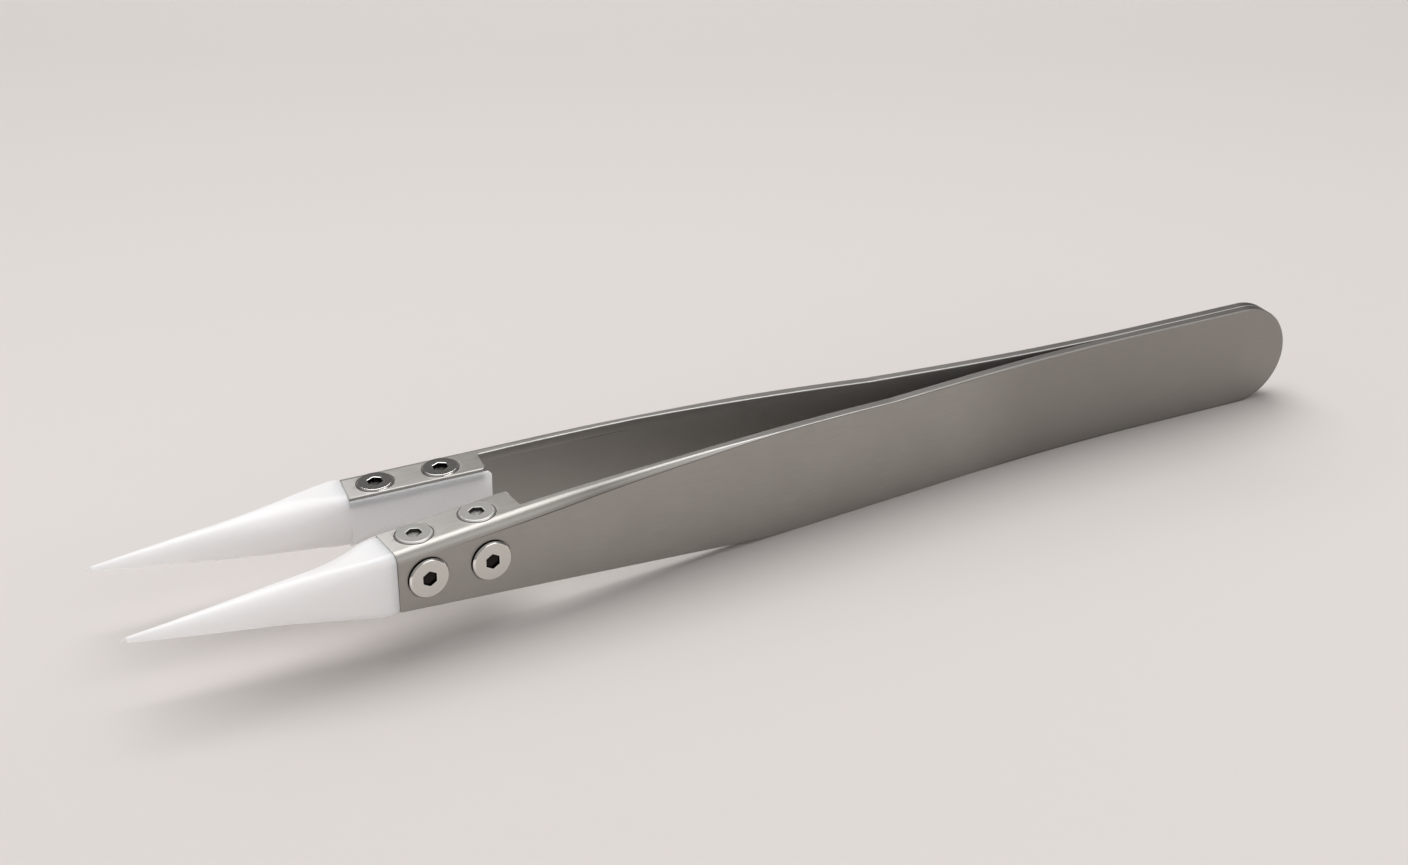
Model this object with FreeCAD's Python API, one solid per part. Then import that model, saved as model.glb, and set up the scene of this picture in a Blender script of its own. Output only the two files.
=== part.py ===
"""Ceramic-tip tweezers: two sprung sheet arms, each holding a white ceramic tip.

The tweezers lie on their long lower edge. +X points to the rounded tail and the points are at -X.
+Z is up, and the mirror plane between the arms is y = 0. The origin is at the middle of the length,
in the mirror plane, on the surface they lie on. Sizes are in millimetres, angles in degrees.

Everything ahead of the bend is drawn in the straight frame of one arm: x = 0 where the bend ends and
grows towards the tail, y = 0 on the outer face and grows inwards, z = 0 on the surface they lie on.
"""
import FreeCAD
import Part

import math
import os

# Sheet and side outline of an arm
sheet = 1.0
handle_height = 11.0
waist_to_bend = 9.0
front_top_height = 10.16
tab_fall_angle = 3.0
front_bottom_height = 4.32
heel_to_front = 39.4
heel_radius = 60.0
arm_straight_length = 62.7

# Plan of an arm: joined length at the tail, gentle bend, then a straight splay
joined_length = 18.0
bend_radius = 240.0
splay_angle = 5.5

# Fold along the top of the front end, and its run-out along the arm
tab_length = 13.0
tab_width = 4.5
flange_width = 1.6
flange_length = 16.0
fold_outer_radius = 1.0
fold_inner_radius = 0.25
run_out_radius = 0.06
run_out_to_bend = 22.0
tab_corner_radius = 0.4
edge_break = 0.12

# Ceramic: the bar under the fold, and its lip in front of the tab's free edge
bar_height = 3.6
bar_proud = 0.3
lip_below_tab = 0.27
lip_clearance = 0.02
lip_end_chamfer = 0.3
bar_tail_overhang = 0.5
bar_end_chamfer = 0.7
bar_corner_clearance = 0.1

# Ceramic: the straight shoulder ahead of the sheet, then the taper with corners rounded as cones
shoulder_length = 1.5
shoulder_below_sheet = 0.45
shoulder_bottom_outer_radius = 1.1
shoulder_bottom_inner_radius = 2.3
shoulder_top_inner_radius = 1.2
shoulder_top_outer_radius = 0.7
taper_bottom_outer_radius = 1.6
taper_bottom_inner_radius = 2.37
taper_top_inner_radius = 1.9
taper_top_outer_radius = 1.0
point_length = 23.9
point_inset = 4.0
point_height = 7.32
point_width = 0.44
point_corner_radius = 0.2
point_flat_radius = 0.12

# Low-head screws with a hexagon socket, their heads let into the sheet
side_head_diameter = 3.9
side_seat_depth = 0.18
top_head_diameter = 3.5
top_seat_depth = 0.38
head_height = 0.55
head_seat_clearance = 0.07
head_chamfer = 0.15
socket_across_flats = 1.3
socket_depth = 0.4
shank_radius = 0.7
shank_reach = 1.98
sheet_hole_clearance = 0.1
ceramic_hole_clearance = 0.03
blind_hole_clearance = 0.1
front_screw_setback = 2.9
screw_spacing = 6.25
top_screw_inset = 2.58

# Cutting shapes reach past the part, and edges are picked out within small distances
overshoot = 5.0
tiny = 1e-6
heel_allowance = 0.5

# Places worked out from the sizes above
splay = math.radians(splay_angle)
bend_end_x = -(joined_length + bend_radius * math.sin(splay))
bend_end_y = sheet + bend_radius * (1 - math.cos(splay))
tab_fall = math.radians(tab_fall_angle)
front_x = -arm_straight_length
waist_x = -waist_to_bend
tab_tail_x = front_x + tab_length
flange_end_x = tab_tail_x + flange_length
run_out_x = -run_out_to_bend
heel_x = front_x + heel_to_front
taper_x = front_x - shoulder_length
point_x = front_x - point_length
bar_inner_y = tab_width + bar_proud
shoulder_bottom = front_bottom_height - shoulder_below_sheet
bar_edge_radius = fold_inner_radius + bar_corner_clearance
overall_length = -(bend_end_x + point_x * math.cos(splay) - point_inset * math.sin(splay))
screw_stations = {
    "front": front_x + front_screw_setback,
    "rear": front_x + front_screw_setback + screw_spacing,
}


def vector(x, y, z):
    return FreeCAD.Vector(x, y, z)


def tab_height(x, depth=0.0):
    """Height of the flat top of the tab, or of the flat at some depth below it."""
    return front_top_height + (x - front_x) * math.tan(tab_fall) - depth / math.cos(tab_fall)


def crown_circle():
    """Circle of the top edge: through the waist, and touching the flat of the tab at its tail."""
    dx = waist_x - tab_tail_x
    dz = handle_height - tab_height(tab_tail_x)
    bow = dx * math.sin(tab_fall) - dz * math.cos(tab_fall)
    radius = (dx ** 2 + dz ** 2) / (2 * bow)
    centre_x = tab_tail_x + radius * math.sin(tab_fall)
    centre_z = tab_height(tab_tail_x) - radius * math.cos(tab_fall)
    return radius, centre_x, centre_z


crown_radius, crown_x, crown_z = crown_circle()


def crown_height(x, depth=0.0):
    """Height of the curved top edge ahead of the waist, or of a curve at some depth below it."""
    return crown_z + math.sqrt((crown_radius - depth) ** 2 - (x - crown_x) ** 2)


def crown_edge(start_x, end_x, depth=0.0):
    """A stretch of the curved top edge, or of a curve at some depth below it."""
    stations = (start_x, (start_x + end_x) / 2, end_x)
    points = [vector(x, 0, crown_height(x, depth)) for x in stations]
    return Part.Arc(*points).toShape()


def on_tab_flat(x, depth=0.0):
    """Point on the flat of the tab, or at some depth below it."""
    return vector(x, 0, tab_height(x, depth))


def lower_edge_height(x):
    """Height of the straight lower edge between the heel and the front end."""
    return front_bottom_height * (heel_x - x) / heel_to_front


def path(*points):
    """Straight edges through the points."""
    return [Part.makeLine(a, b) for a, b in zip(points, points[1:])]


def plate(edges, thickness):
    """Closed outline in the side plane, thickened inwards."""
    face = Part.Face(Part.Wire(Part.__sortEdges__(edges)))
    return face.extrude(vector(0, thickness, 0))


def edges_where(shape, wanted):
    """Edges of a shape whose every end and middle point passes the test."""
    chosen = []
    for edge in shape.Edges:
        middle = edge.valueAt((edge.FirstParameter + edge.LastParameter) / 2)
        points = [vertex.Point for vertex in edge.Vertexes] + [middle]
        if all(wanted(point) for point in points):
            chosen.append(edge)
    return chosen


def heel_edges():
    """Lower edge of the arm: flat, a soft heel, then a straight rise to the front end."""
    rise_angle = math.atan2(front_bottom_height, heel_to_front)
    tangent = heel_radius * math.tan(rise_angle / 2)
    flat_end = vector(heel_x + tangent, 0, 0)
    rise_start = vector(heel_x - tangent * math.cos(rise_angle), 0, tangent * math.sin(rise_angle))
    centre = vector(heel_x + tangent, 0, heel_radius)
    half = rise_angle / 2
    middle = centre + vector(-heel_radius * math.sin(half), 0, -heel_radius * math.cos(half))
    flat = Part.makeLine(vector(0, 0, 0), flat_end)
    soft_heel = Part.Arc(flat_end, middle, rise_start).toShape()
    rise = Part.makeLine(rise_start, vector(front_x, 0, front_bottom_height))
    return [flat, soft_heel, rise]


def straight_part():
    """The straight part of an arm: the web, with the top folded inwards at the front as a tab."""
    outline = heel_edges()
    outline += path(vector(front_x, 0, front_bottom_height), on_tab_flat(front_x), on_tab_flat(tab_tail_x))
    outline.append(crown_edge(tab_tail_x, run_out_x))
    outline.append(crown_edge(run_out_x, waist_x))
    outline += path(vector(waist_x, 0, handle_height), vector(0, 0, handle_height), vector(0, 0, 0))
    blank = plate(outline, tab_width)

    part = blank.cut(under_fold().fuse(beside_flange()).removeSplitter()).cut(inner_handle_break())

    free_corner = edges_where(
        part, lambda p: abs(p.x - tab_tail_x) < tiny and abs(p.y - tab_width) < tiny
    )
    part = part.makeFillet(tab_corner_radius, free_corner)
    outer_fold = edges_where(part, lambda p: abs(p.y) < tiny and on_top_edge(p))
    return soften(fold_with_run_out(part, outer_fold), on_lower_edge)


def under_fold():
    """Space left open inside the web, under the tab and under the narrow flange behind it."""
    beyond_x = front_x - overshoot
    above = handle_height + overshoot
    under_tab_tail = on_tab_flat(tab_tail_x + sheet * math.sin(tab_fall), sheet)
    outline = path(on_tab_flat(beyond_x, sheet), under_tab_tail)
    outline.append(crown_edge(under_tab_tail.x, flange_end_x, sheet))
    outline += path(
        vector(flange_end_x, 0, crown_height(flange_end_x, sheet)),
        vector(flange_end_x, 0, above),
        vector(overshoot, 0, above),
        vector(overshoot, 0, -overshoot),
        vector(beyond_x, 0, -overshoot),
        on_tab_flat(beyond_x, sheet),
    )
    space = plate(outline, tab_width + overshoot)

    def in_fold(p):
        under = tab_height(p.x, sheet) if p.x < under_tab_tail.x else crown_height(p.x, sheet)
        return abs(p.y) < tiny and p.x < flange_end_x + tiny and abs(p.z - under) < tiny

    space = space.makeFillet(fold_inner_radius, edges_where(space, in_fold))
    space.translate(vector(0, sheet, 0))
    return space


def inner_handle_break():
    """Edge break along the inner top edge of the handle, ahead of the bend."""
    corners = [
        vector(waist_x, sheet - edge_break, handle_height),
        vector(waist_x, sheet, handle_height - edge_break),
        vector(waist_x, sheet + edge_break, handle_height + edge_break),
    ]
    return Part.Face(Part.makePolygon([*corners, corners[0]])).extrude(vector(waist_to_bend, 0, 0))


def beside_flange():
    """Space left open behind the tab, beside the flange that narrows down to the sheet."""
    far_y = tab_width + overshoot
    plan = path(
        vector(tab_tail_x, flange_width, -overshoot),
        vector(flange_end_x, sheet, -overshoot),
        vector(overshoot, sheet, -overshoot),
        vector(overshoot, far_y, -overshoot),
        vector(tab_tail_x, far_y, -overshoot),
        vector(tab_tail_x, flange_width, -overshoot),
    )
    return Part.Face(Part.Wire(plan)).extrude(vector(0, 0, handle_height + 2 * overshoot))


def on_top_edge(p):
    """True along the top edge ahead of the waist: the flat of the tab, then the crown."""
    if p.x > waist_x + tiny:
        return False
    top = tab_height(p.x) if p.x < tab_tail_x else crown_height(p.x)
    return abs(p.z - top) < tiny


def on_lower_edge(p):
    """True along the lower edge of the web, on its outer and inner face."""
    on_face = min(abs(p.y), abs(p.y - sheet)) < tiny
    if p.x > heel_x:
        return on_face and p.z < heel_allowance
    return on_face and abs(p.z - lower_edge_height(p.x)) < heel_allowance


def on_handle_edge(p):
    """True along the top, the rounded tail and the bottom of the handle."""
    tail_radius = handle_height / 2
    if p.x > -tail_radius:
        return abs(math.hypot(p.x + tail_radius, p.z - tail_radius) - tail_radius) < tiny
    return abs(p.z) < tiny or abs(p.z - handle_height) < tiny


def soften(part, wanted):
    """Break the long sharp edges that a cut sheet is left with."""
    chosen = [edge for edge in edges_where(part, wanted) if edge.Length > 2 * sheet]
    return part.makeChamfer(edge_break, chosen)


def fold_with_run_out(part, chain):
    """Round the outer top edge: a full fold along the tab, dying out along the crown."""
    crown = [edge for edge in chain if tab_tail_x < edge.CenterOfMass.x < run_out_x]
    return part.makeFillet(fold_outer_radius, run_out_radius, crown)


def bent_part():
    """The rear of an arm: the length joined to the other arm at the tail, and the gentle bend."""
    inner_radius = bend_radius + sheet
    centre_y = -(sheet + bend_radius)

    def on_bend(radius, angle):
        return vector(-joined_length - radius * math.sin(angle), centre_y + radius * math.cos(angle), 0)

    outer = [on_bend(bend_radius, splay * share) for share in (0, 0.5, 1)]
    inner = [on_bend(inner_radius, splay * share) for share in (1, 0.5, 0)]
    plan = [Part.Arc(*outer).toShape(), Part.Arc(*inner).toShape()]
    plan += path(outer[2], inner[0])
    plan += path(inner[2], vector(0, 0, 0), vector(0, -sheet, 0), outer[0])
    band = Part.Face(Part.Wire(Part.__sortEdges__(plan))).extrude(vector(0, 0, handle_height))

    tail_radius = handle_height / 2
    beyond_x = bend_end_x - overshoot
    side = [Part.Arc(
        vector(-tail_radius, 0, 0), vector(0, 0, tail_radius), vector(-tail_radius, 0, handle_height)
    ).toShape()]
    side += path(
        vector(-tail_radius, 0, handle_height),
        vector(beyond_x, 0, handle_height),
        vector(beyond_x, 0, 0),
        vector(-tail_radius, 0, 0),
    )
    rounded_tail = plate(side, 2 * overshoot + bend_end_y)
    rounded_tail.translate(vector(0, -overshoot - bend_end_y, 0))
    return soften(band.common(rounded_tail), on_handle_edge)


def splayed(shape):
    """Turn a shape from the straight frame of an arm to its place beside the mirror plane."""
    placed = shape.copy()
    placed.rotate(vector(0, 0, 0), vector(0, 0, 1), splay_angle)
    placed.translate(vector(bend_end_x, -bend_end_y, 0))
    return placed


def centred(shape):
    """Move a shape so that the middle of the overall length is at x = 0."""
    placed = shape.copy()
    placed.translate(vector(overall_length / 2, 0, 0))
    return placed


def screw_axes():
    """Head seat point and inward direction of each screw, in the straight frame of an arm."""
    axes = {}
    for station, x in screw_stations.items():
        web_middle = (tab_height(x) + lower_edge_height(x)) / 2
        axes["side_screw_" + station] = (vector(x, 0, web_middle), vector(0, 1, 0))
        inward = vector(math.sin(tab_fall), 0, -math.cos(tab_fall))
        axes["top_screw_" + station] = (vector(x, top_screw_inset, tab_height(x)), inward)
    return axes


def along(shape, point, direction):
    """Stand a shape that was built along +Z on a point, along a direction."""
    placed = shape.copy()
    turn = FreeCAD.Rotation(vector(0, 0, 1), direction)
    placed.Placement = FreeCAD.Placement(point, turn)
    return placed


def head_and_seat(name):
    """Head diameter and depth of the seat of a screw, by the row that it stands in."""
    if name.startswith("side"):
        return side_head_diameter, side_seat_depth
    return top_head_diameter, top_seat_depth


def screw(name):
    """Low-head screw, built inwards along +Z from the outer face of the sheet."""
    head_diameter, seat_depth = head_and_seat(name)
    head_top = seat_depth - head_height
    head = Part.makeCylinder(head_diameter / 2, head_height, vector(0, 0, head_top))
    rim = edges_where(head, lambda p: abs(p.z - head_top) < tiny)
    head = head.makeChamfer(head_chamfer, rim)
    shank = Part.makeCylinder(shank_radius, shank_reach - seat_depth, vector(0, 0, seat_depth))

    corner_radius = socket_across_flats / 2 / math.cos(math.radians(30))
    corners = []
    for number in range(7):
        turn = math.radians(60 * number)
        corners.append(vector(corner_radius * math.cos(turn), corner_radius * math.sin(turn), head_top))
    socket = Part.Face(Part.makePolygon(corners)).extrude(vector(0, 0, socket_depth))
    return head.fuse(shank).removeSplitter().cut(socket)


def sheet_hole(name):
    """Clearance hole and seat for one screw, through the sheet, along +Z."""
    head_diameter, seat_depth = head_and_seat(name)
    hole = Part.makeCylinder(shank_radius + sheet_hole_clearance, 2 * sheet)
    seat_radius = head_diameter / 2 + head_seat_clearance
    seat = Part.makeCylinder(seat_radius, seat_depth + overshoot, vector(0, 0, -overshoot))
    return hole.fuse(seat)


def blind_hole():
    """Blind hole in the ceramic for the screw's shank, along +Z from the sheet's outer face."""
    return Part.makeCylinder(shank_radius + ceramic_hole_clearance, shank_reach + blind_hole_clearance)


def left_arm():
    """One arm: a single sheet with its bend, its fold and the seats of its four screws."""
    front = straight_part()
    for name, (seat, direction) in screw_axes().items():
        front = front.cut(along(sheet_hole(name), seat, direction))
    return bent_part().fuse(splayed(front)).removeSplitter()


def bar():
    """Square bar of the ceramic tip, seated in the corner of the fold."""
    tail_x = tab_tail_x + bar_tail_overhang
    top = sheet
    bottom = sheet + bar_height
    cut = bar_end_chamfer
    outline = path(
        on_tab_flat(front_x, top),
        on_tab_flat(tail_x - cut, top),
        on_tab_flat(tail_x, top + cut),
        on_tab_flat(tail_x, bottom - cut),
        on_tab_flat(tail_x - cut, bottom),
        on_tab_flat(front_x, bottom),
        on_tab_flat(front_x, top),
    )
    solid = plate(outline, bar_inner_y - sheet)

    def on_rounded_edge(p):
        in_fold = abs(p.y) < tiny and abs(p.z - tab_height(p.x, top)) < tiny
        return in_fold or abs(p.z - tab_height(p.x, bottom)) < tiny

    long_edges = [edge for edge in edges_where(solid, on_rounded_edge) if edge.Length > tab_length / 2]
    solid = solid.makeFillet(bar_edge_radius, long_edges)
    solid.translate(vector(0, sheet, 0))
    return solid.fuse(lip(tail_x))


def lip(tail_x):
    """Narrow lip along the bar, rising in front of the free edge of the tab."""
    outline = path(
        on_tab_flat(front_x, lip_below_tab),
        on_tab_flat(tail_x - lip_end_chamfer, lip_below_tab),
        on_tab_flat(tail_x, lip_below_tab + lip_end_chamfer),
        on_tab_flat(tail_x, sheet + bar_end_chamfer),
        on_tab_flat(front_x, sheet + bar_end_chamfer),
        on_tab_flat(front_x, lip_below_tab),
    )
    outer_y = tab_width + lip_clearance
    solid = plate(outline, bar_inner_y - outer_y)
    solid.translate(vector(0, outer_y, 0))
    return solid


def shoulder_block():
    """Straight block ahead of the sheet, with the rounded corners of the shoulder."""
    height = front_top_height - shoulder_bottom
    block = Part.makeBox(2 * point_length, bar_inner_y, height)
    block.translate(vector(front_x - 2 * point_length, 0, shoulder_bottom))
    corners = [
        (0, shoulder_bottom, shoulder_bottom_outer_radius),
        (bar_inner_y, shoulder_bottom, shoulder_bottom_inner_radius),
        (bar_inner_y, front_top_height, shoulder_top_inner_radius),
        (0, front_top_height, shoulder_top_outer_radius),
    ]
    for y, z, radius in corners:
        corner = edges_where(block, lambda p: abs(p.y - y) < tiny and abs(p.z - z) < tiny)
        block = block.makeFillet(radius, corner)
    return block


def taper_corner(x, side, level):
    """Sharp corner of the taper at a station. Side is -1 outside, 1 inside; level is -1 below, 1 above."""
    share = (taper_x - x) / (taper_x - point_x)
    half = point_width / 2
    wide_y = 0 if side < 0 else bar_inner_y
    wide_z = shoulder_bottom if level < 0 else front_top_height
    y = wide_y + (point_inset + side * half - wide_y) * share
    z = wide_z + (point_height + level * half - wide_z) * share
    return vector(x, y, z)


def flat_sided(faces):
    """Solid bounded by flat faces, each given as its corner points."""
    shell = Part.Shell([Part.Face(Part.makePolygon([*corners, corners[0]])) for corners in faces])
    solid = Part.Solid(shell)
    if solid.Volume < 0:
        solid.reverse()
    return solid


def sharp_taper():
    """The taper before its corners are rounded, carried on a little behind the shoulder."""
    around = ((-1, -1), (1, -1), (1, 1), (-1, 1))
    behind = [taper_corner(front_x + sheet, side, level) for side, level in around]
    ahead = [taper_corner(point_x, side, level) for side, level in around]
    sides = [(behind[i - 1], behind[i], ahead[i], ahead[i - 1]) for i in range(4)]
    return flat_sided([behind, ahead, *sides])


def corner_cone(side, level, radius):
    """Cone that touches both sides of a corner of the taper, and the wedge of stock that it replaces."""
    wide = taper_corner(taper_x, side, level)
    narrow = taper_corner(point_x, side, level)
    tip = wide + (narrow - wide) * (radius / (radius - point_corner_radius))
    reach = (wide - tip).Length
    edge = (wide - tip).normalize()
    side_normal = edge.cross(vector(0, 0, -side)).normalize()
    level_normal = edge.cross(vector(0, level, 0)).normalize()
    inward = (side_normal + level_normal) * (-1 / (1 + side_normal.dot(level_normal)))
    axis = edge + inward * (radius / reach)
    slope = radius / reach / axis.Length
    axis = axis.normalize()
    touch_side = axis - side_normal * axis.dot(side_normal)
    touch_level = axis - level_normal * axis.dot(level_normal)

    def at_base(direction):
        return tip + direction * ((front_x + 2 * sheet - tip.x) / direction.x)

    centre = at_base(axis)
    outside = at_base(edge) * 2 - centre
    base = [outside, at_base(touch_side), centre, at_base(touch_level)]
    wedge = flat_sided([base] + [(tip, base[i - 1], base[i]) for i in range(4)])
    height = (centre - tip).Length + 2 * sheet
    cone = Part.makeCone(0, height * slope / math.sqrt(1 - slope ** 2), height, tip, axis)
    return cone, wedge


def point():
    """Exposed ceramic: a shoulder flush with the sheet, tapering straight to the point."""
    corners = [
        (-1, -1, taper_bottom_outer_radius),
        (1, -1, taper_bottom_inner_radius),
        (1, 1, taper_top_inner_radius),
        (-1, 1, taper_top_outer_radius),
    ]
    stock = Part.makeBox(point_length + sheet, 4 * bar_inner_y, 2 * front_top_height)
    stock.translate(vector(point_x, -2 * bar_inner_y, 0))
    taper = sharp_taper()
    for side, level, radius in corners:
        cone, wedge = corner_cone(side, level, radius)
        taper = taper.cut(wedge).fuse(wedge.common(cone).common(stock))
    taper = taper.removeSplitter().common(shoulder_block())
    bevel = Part.makeCone(
        point_flat_radius, point_flat_radius + 2 * point_length, 2 * point_length,
        vector(point_x, point_inset, point_height), vector(1, 0, 0),
    )
    return taper.common(bevel)


def left_ceramic_tip():
    """Ceramic tip: bar, shoulder and point in one piece, with blind holes for its screws."""
    body = bar().fuse(point()).removeSplitter()
    for seat, direction in screw_axes().values():
        body = body.cut(along(blind_hole(), seat, direction))
    return splayed(body)


def mirrored(shape):
    """The same piece for the other arm."""
    return shape.mirror(vector(0, 0, 0), vector(0, 1, 0))


def pieces():
    """Every piece of the left side, then its mirror image on the right."""
    left = {"arm": left_arm(), "ceramic_tip": left_ceramic_tip()}
    for name, (seat, direction) in screw_axes().items():
        left[name] = splayed(along(screw(name), seat, direction))
    parts = {}
    for name, shape in left.items():
        parts["left_" + name] = centred(shape)
        parts["right_" + name] = centred(mirrored(shape))
    return parts


os.makedirs("parts", exist_ok=True)
for name, shape in pieces().items():
    shape.exportStep("parts/" + name + ".step")
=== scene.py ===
"""Ceramic-tip tweezers lying on a pale floor: arms, ceramic tips and screws as worked-out surfaces.

Shapes are worked out in millimetres in the straight frame of the left arm: x = 0 at the front end of the
bend and growing towards the tail, y = 0 on the outer face and growing inwards, z = 0 on the floor.
along_arm() then carries every point along the splayed, bent and joined path, and the right side is the
mirror image.
"""

import math

import bmesh
import bpy
import numpy as np
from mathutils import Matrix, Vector


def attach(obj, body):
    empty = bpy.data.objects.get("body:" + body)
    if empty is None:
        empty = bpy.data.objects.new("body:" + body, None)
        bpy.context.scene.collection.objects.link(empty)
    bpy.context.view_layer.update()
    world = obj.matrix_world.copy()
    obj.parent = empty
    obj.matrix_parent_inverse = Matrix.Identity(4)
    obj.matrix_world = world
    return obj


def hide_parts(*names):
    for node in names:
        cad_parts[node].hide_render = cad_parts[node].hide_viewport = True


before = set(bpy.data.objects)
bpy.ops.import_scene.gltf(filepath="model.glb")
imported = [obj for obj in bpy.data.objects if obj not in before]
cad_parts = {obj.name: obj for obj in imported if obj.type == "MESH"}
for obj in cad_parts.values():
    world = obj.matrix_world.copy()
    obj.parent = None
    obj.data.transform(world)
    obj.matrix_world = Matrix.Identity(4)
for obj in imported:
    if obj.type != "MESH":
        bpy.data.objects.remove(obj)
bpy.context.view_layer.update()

# Sheet, outlines and path of an arm
sheet = 1.0
handle_height = 11.0
waist_x = -9.0
front_x = -62.7
front_top_height = 10.16
front_bottom_height = 4.32
heel_x = -23.3
heel_radius = 60.0
joined_length = 18.0
bend_radius = 240.0
splay = math.radians(5.5)
half_length = 63.802

# Folded top of an arm: the tab, the narrow flange behind it and the fold's radius
tab_length = 13.0
tab_width = 4.5
tab_corner = 0.4
tab_fall = math.radians(3.0)
hollow_corner = 0.3
flange_width = 1.6
flange_end_x = -33.7
flange_inner_radius = 0.1
fold_outer_radius = 1.0
fold_inner_radius = 0.25
run_out_radius = 0.08
edge_break = 0.12
rim_break = 0.1
handle_rim_depth = 0.3

tab_tail_x = front_x + tab_length
bend_length = bend_radius * splay
tail_x = bend_length + joined_length
tail_radius = handle_height / 2

# Outer radius of the fold at distances behind the tab
fold_run_out = (
    (0, fold_outer_radius), (4, 0.93), (7.7, 0.77), (10.7, 0.65), (14.7, 0.54), (19.7, 0.38), (23.7, 0.2),
    (27.7, run_out_radius), (41, run_out_radius), (43, edge_break),
)

# How far the sheet's front end is drawn in, at distances behind it
front_break = ((0, 0.06), (0.02, 0.02), (0.06, 0.0))

# Painted light along an arm, as places and amounts: above zero a painted highlight, below zero painted
# shade
# Lower edge: painted highlight at the front, painted contact shadow behind the bend
low_edge_highlight_and_shadow = ((0, 0.5), (6, -0.8))
# Fold: a band of painted highlight with a short dip of painted shade
fold_highlight_and_shade = ((-52, 0.1), (-42, -0.3), (-34, 0.1), (-24, 1.0), (-12, 1.0), (-4, 0.2))
# Painted shade in the crease under the fold
crease_painted_shade = ((front_x + 4, 0.0), (tab_tail_x, -0.9), (heel_x + 24, -0.9), (heel_x + 30, 0.0))
# Tab top: painted highlight at the front, painted shade behind it
top_highlight_and_shade = (
    (front_x, 0.65), (front_x + 6, 0.0), (tab_tail_x, -0.25), (tab_tail_x + 1, -0.2), (front_x + 30, -0.35),
)
# Painted light on the inner face, painted shade under the flange, painted highlight under the rim
inner_face_painted_light = 0.35
flange_under_painted_shade = -0.6
rim_under_painted_highlight = 0.4

# Bar of a ceramic tip, and its lip in front of the tab's free edge
bar_height = 3.6
bar_inner_y = 4.8
bar_tail_overhang = 0.5
bar_end_chamfer = 0.7
bar_edge_radius = 0.35
bar_front_drop = 0.95
bar_easing_length = 5.0
bar_rear_radii = (1.0, 1.0)
bar_front_radii = (1.3, 2.5)
lip_below_tab = 0.27
lip_outer_y = 4.52
lip_edge_radius = 0.1
lip_end_chamfer = 0.3

# Shoulder and taper of a ceramic tip. The radii are half axes in y and z of the corners of a section:
# low outer, low inner, high inner, high outer
shoulder_bottom = 3.87
shoulder_length = 1.2
shoulder_radii = ((1.1, 1.1), (3.7, 4.2), (3.0, 2.4), (0.85, 0.85))
inner_edge_start = 0.4
inner_edge_length = 7.0
taper_bow = 0.25
fully_round_share = 0.48
point_length = 23.9
point_inset = 4.0
point_height = 7.32
point_width = 0.44

# Screws
head_height = 0.55
head_radius = {"side": 1.95, "top": 1.75}
seat_depth = {"side": 0.18, "top": 0.38}
seat_clearance = 0.07
head_chamfer = 0.15
socket_across_flats = 1.3
socket_depth = 0.4
shank_radius = 0.7
shank_reach = 1.98
screw_x = (-59.8, -53.55)
top_screw_inset = 2.58

# Fineness of the meshes, with the merging distances in metres
corner_points = 11
side_points = 6
round_sides = 96
merge_distance = 2e-7
sliver_length = 1e-8
smooth_below = math.radians(32)
to_metres = 0.001


# Paths and outlines

def along_arm(points, side):
    """Carry points from the straight frame of an arm to the scene.

    Ahead of the bend it is a turn by the splay angle. In the bend a point goes round the bend's centre,
    at the bend radius plus its own y, and behind it the path runs along x beside the mirror plane.
    """
    x, y, z = (points[..., i] for i in range(3))
    angle = splay * np.clip(1 - x / bend_length, 0, 1)
    radius = bend_radius + y
    turned_x = -joined_length - radius * np.sin(angle)
    turned_y = -(sheet + bend_radius) + radius * np.cos(angle)
    before = np.minimum(x, 0)
    after = np.maximum(x - bend_length, 0)
    out = np.stack([
        turned_x + before * math.cos(splay) + after + half_length,
        turned_y + before * math.sin(splay),
        z,
    ], axis=-1)
    if side == "right":
        out[..., 1] *= -1
    return out * to_metres


def tab_top(x):
    """Height of the flat of the tab: the front height, rising towards the tail by the tab's fall."""
    return front_top_height + (x - front_x) * math.tan(tab_fall)


def crown():
    """Radius and centre of the circle that touches the tab's flat at its tail and passes the waist."""
    dx = waist_x - tab_tail_x
    dz = handle_height - tab_top(tab_tail_x)
    radius = (dx ** 2 + dz ** 2) / (2 * (dx * math.sin(tab_fall) - dz * math.cos(tab_fall)))
    centre_x = tab_tail_x + radius * math.sin(tab_fall)
    centre_z = tab_top(tab_tail_x) - radius * math.cos(tab_fall)
    return radius, centre_x, centre_z


def upper_height(x):
    """Top edge of an arm: the tab's flat, the crown's circle, then the straight handle."""
    radius, centre_x, centre_z = crown()
    circle = centre_z + np.sqrt(np.maximum(radius ** 2 - (x - centre_x) ** 2, 0))
    return np.where(x < tab_tail_x, tab_top(x), np.where(x < waist_x, circle, handle_height))


def front_rise(x):
    """Height of the straight part of the lower edge, which rises from the heel to the front."""
    return front_bottom_height * (heel_x - x) / (heel_x - front_x)


def lower_height(x):
    """Lower edge of an arm: a straight rise to the front, a soft heel of the heel radius, then zero."""
    rise = math.atan2(front_bottom_height, heel_x - front_x)
    tangent = heel_radius * math.tan(rise / 2)
    start = heel_x + tangent
    heel = heel_radius - np.sqrt(np.maximum(heel_radius ** 2 - (start - x) ** 2, 0))
    return np.where(x > start, 0.0, np.where(x > heel_x - tangent * math.cos(rise), heel, front_rise(x)))


def inward(outline, sign):
    """Unit normals of an outline in the side plane: its tangent turned by a quarter turn."""
    dx, dz = np.gradient(outline[:, 0]), np.gradient(outline[:, 1])
    length = np.hypot(dx, dz)
    return np.stack([-sign * dz / length, sign * dx / length], axis=-1)


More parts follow.
